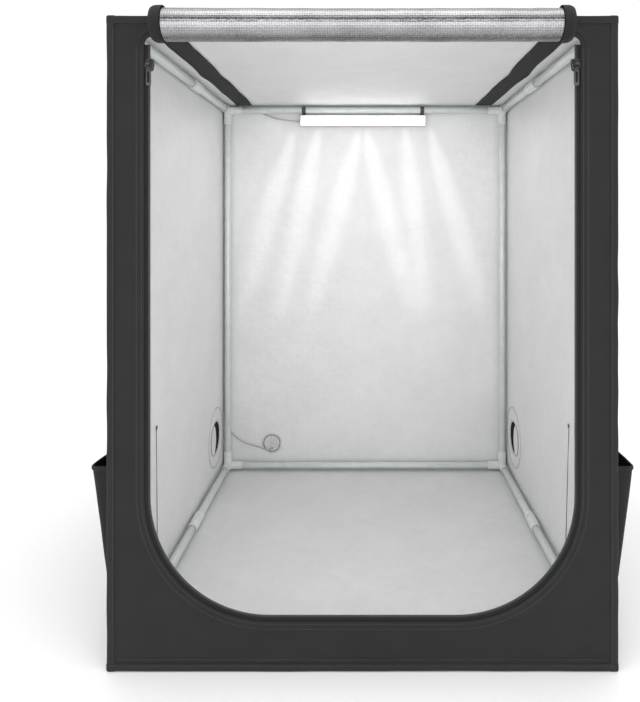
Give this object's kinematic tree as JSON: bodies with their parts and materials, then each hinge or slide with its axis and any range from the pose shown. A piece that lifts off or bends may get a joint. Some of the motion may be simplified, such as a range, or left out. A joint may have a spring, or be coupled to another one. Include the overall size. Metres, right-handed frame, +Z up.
{
  "type": "3d printer enclosure tent",
  "caption": "Box tent for a desktop 3D printer: tube frame, black cloth outside, foil lining, rolled-up front door, side pockets, cable ports and an LED bar.",
  "frame": {"origin": "middle of the footprint, on the underside of the floor panel, where the tent stands", "axes": "+Z up; the door opening faces -Y; +X is to the right of someone who faces the door"},
  "size_m": [0.6766, 0.7122, 0.774],
  "materials": {
    "black_cloth": "coated woven polyester, matt black outside, silver foil inside",
    "black_webbing": "ribbed black webbing",
    "foil_cloth": "embossed silver foil on cloth",
    "grey_tube": "grey-green painted steel tube",
    "pale_plastic": "pale grey moulded plastic",
    "zip_tape": "black zip tape with moulded teeth",
    "zip_metal": "black painted metal",
    "white_plastic": "white moulded plastic",
    "lit_lens": "frosted white lens over LEDs",
    "dark_plastic": "dark moulded plastic",
    "lead_sheath": "pale mauve-grey soft sheath"
  },
  "bodies": {
    "tent": {"ceiling_band_left": "black_webbing", "ceiling_band_right": "black_webbing", "corner_bottom_front_left": "pale_plastic", "corner_bottom_front_right": "pale_plastic", "corner_bottom_rear_left": "pale_plastic", "corner_bottom_rear_right": "pale_plastic", "corner_top_front_left": "pale_plastic", "corner_top_front_right": "pale_plastic", "corner_top_rear_left": "pale_plastic", "corner_top_rear_right": "pale_plastic", "coupler_bottom_left": "pale_plastic", "coupler_bottom_right": "pale_plastic", "coupler_top_left": "pale_plastic", "coupler_top_right": "pale_plastic", "cross_rail_bottom_front": "grey_tube", "cross_rail_bottom_rear": "grey_tube", "cross_rail_top_front": "grey_tube", "cross_rail_top_rear": "grey_tube", "floor_panel": "foil_cloth", "front_surround": "black_cloth", "lead_coil": "lead_sheath", "lead_switch": "dark_plastic", "led_lead": "lead_sheath", "left_wall": "black_cloth", "post_front_left": "grey_tube", "post_front_right": "grey_tube", "post_rear_left": "grey_tube", "post_rear_right": "grey_tube", "rear_port_sleeve": "black_cloth", "rear_wall": "black_cloth", "right_wall": "black_cloth", "roof_panel": "black_cloth", "side_pocket_left": "black_cloth", "side_pocket_right": "black_cloth", "side_port_rim_left": "black_webbing", "side_port_rim_right": "black_webbing", "side_rail_bottom_left_front": "grey_tube", "side_rail_bottom_left_rear": "grey_tube", "side_rail_bottom_right_front": "grey_tube", "side_rail_bottom_right_rear": "grey_tube", "side_rail_top_left_front": "grey_tube", "side_rail_top_left_rear": "grey_tube", "side_rail_top_right_front": "grey_tube", "side_rail_top_right_rear": "grey_tube", "usb_plug": "dark_plastic", "zipper_track": "zip_tape"},
    "door": {"door_roll": "foil_cloth", "door_strap_left": "black_webbing", "door_strap_right": "black_webbing"},
    "zip_slider_left": {"zip_slider_left": "zip_metal"},
    "zip_slider_right": {"zip_slider_right": "zip_metal"},
    "zip_pull_left": {"zip_pull_left": "zip_metal"},
    "zip_pull_right": {"zip_pull_right": "zip_metal"},
    "led_bar": {"led_housing": "white_plastic", "led_lens": "lit_lens", "led_clip_left": "dark_plastic", "led_clip_right": "dark_plastic"},
    "port_flap_left": {"side_port_flap_left": "foil_cloth"},
    "port_flap_right": {"side_port_flap_right": "foil_cloth"},
    "switch_button": {"switch_button": "white_plastic"}
  },
  "joints": [
    {"name": "door_flip", "type": "hinge", "parent": "tent", "child": "door", "pos_m": [0, -0.301, 0.7715], "axis": [-1, 0, 0], "range_deg": [0, 170]},
    {"name": "led_bar_tilt", "type": "hinge", "parent": "tent", "child": "led_bar", "pos_m": [-0.004, 0.2877, 0.7577], "axis": [-1, 0, 0], "range_deg": [0, 60]},
    {"name": "zip_slider_left_travel", "type": "slide", "parent": "tent", "child": "zip_slider_left", "axis": [0, 0, -1], "range_m": [0, 0.49]},
    {"name": "zip_pull_left_swing", "type": "hinge", "parent": "zip_slider_left", "child": "zip_pull_left", "pos_m": [-0.2502, -0.3043, 0.713], "axis": [-1, 0, 0], "range_deg": [0, 150]},
    {"name": "port_flap_left_swing", "type": "hinge", "parent": "tent", "child": "port_flap_left", "pos_m": [-0.2973, 0.183, 0.093], "axis": [0, 0, -1], "range_deg": [0, 110]},
    {"name": "zip_slider_right_travel", "type": "slide", "parent": "tent", "child": "zip_slider_right", "axis": [0, 0, -1], "range_m": [0, 0.49]},
    {"name": "zip_pull_right_swing", "type": "hinge", "parent": "zip_slider_right", "child": "zip_pull_right", "pos_m": [0.2502, -0.3043, 0.713], "axis": [-1, 0, 0], "range_deg": [0, 150]},
    {"name": "port_flap_right_swing", "type": "hinge", "parent": "tent", "child": "port_flap_right", "pos_m": [0.2973, 0.183, 0.093], "axis": [0, 0, 1], "range_deg": [0, 110]},
    {"name": "switch_button_press", "type": "slide", "parent": "tent", "child": "switch_button", "axis": [0, 0, -1], "range_m": [0, 0.0012], "stiffness_N_per_m": 400}
  ]
}
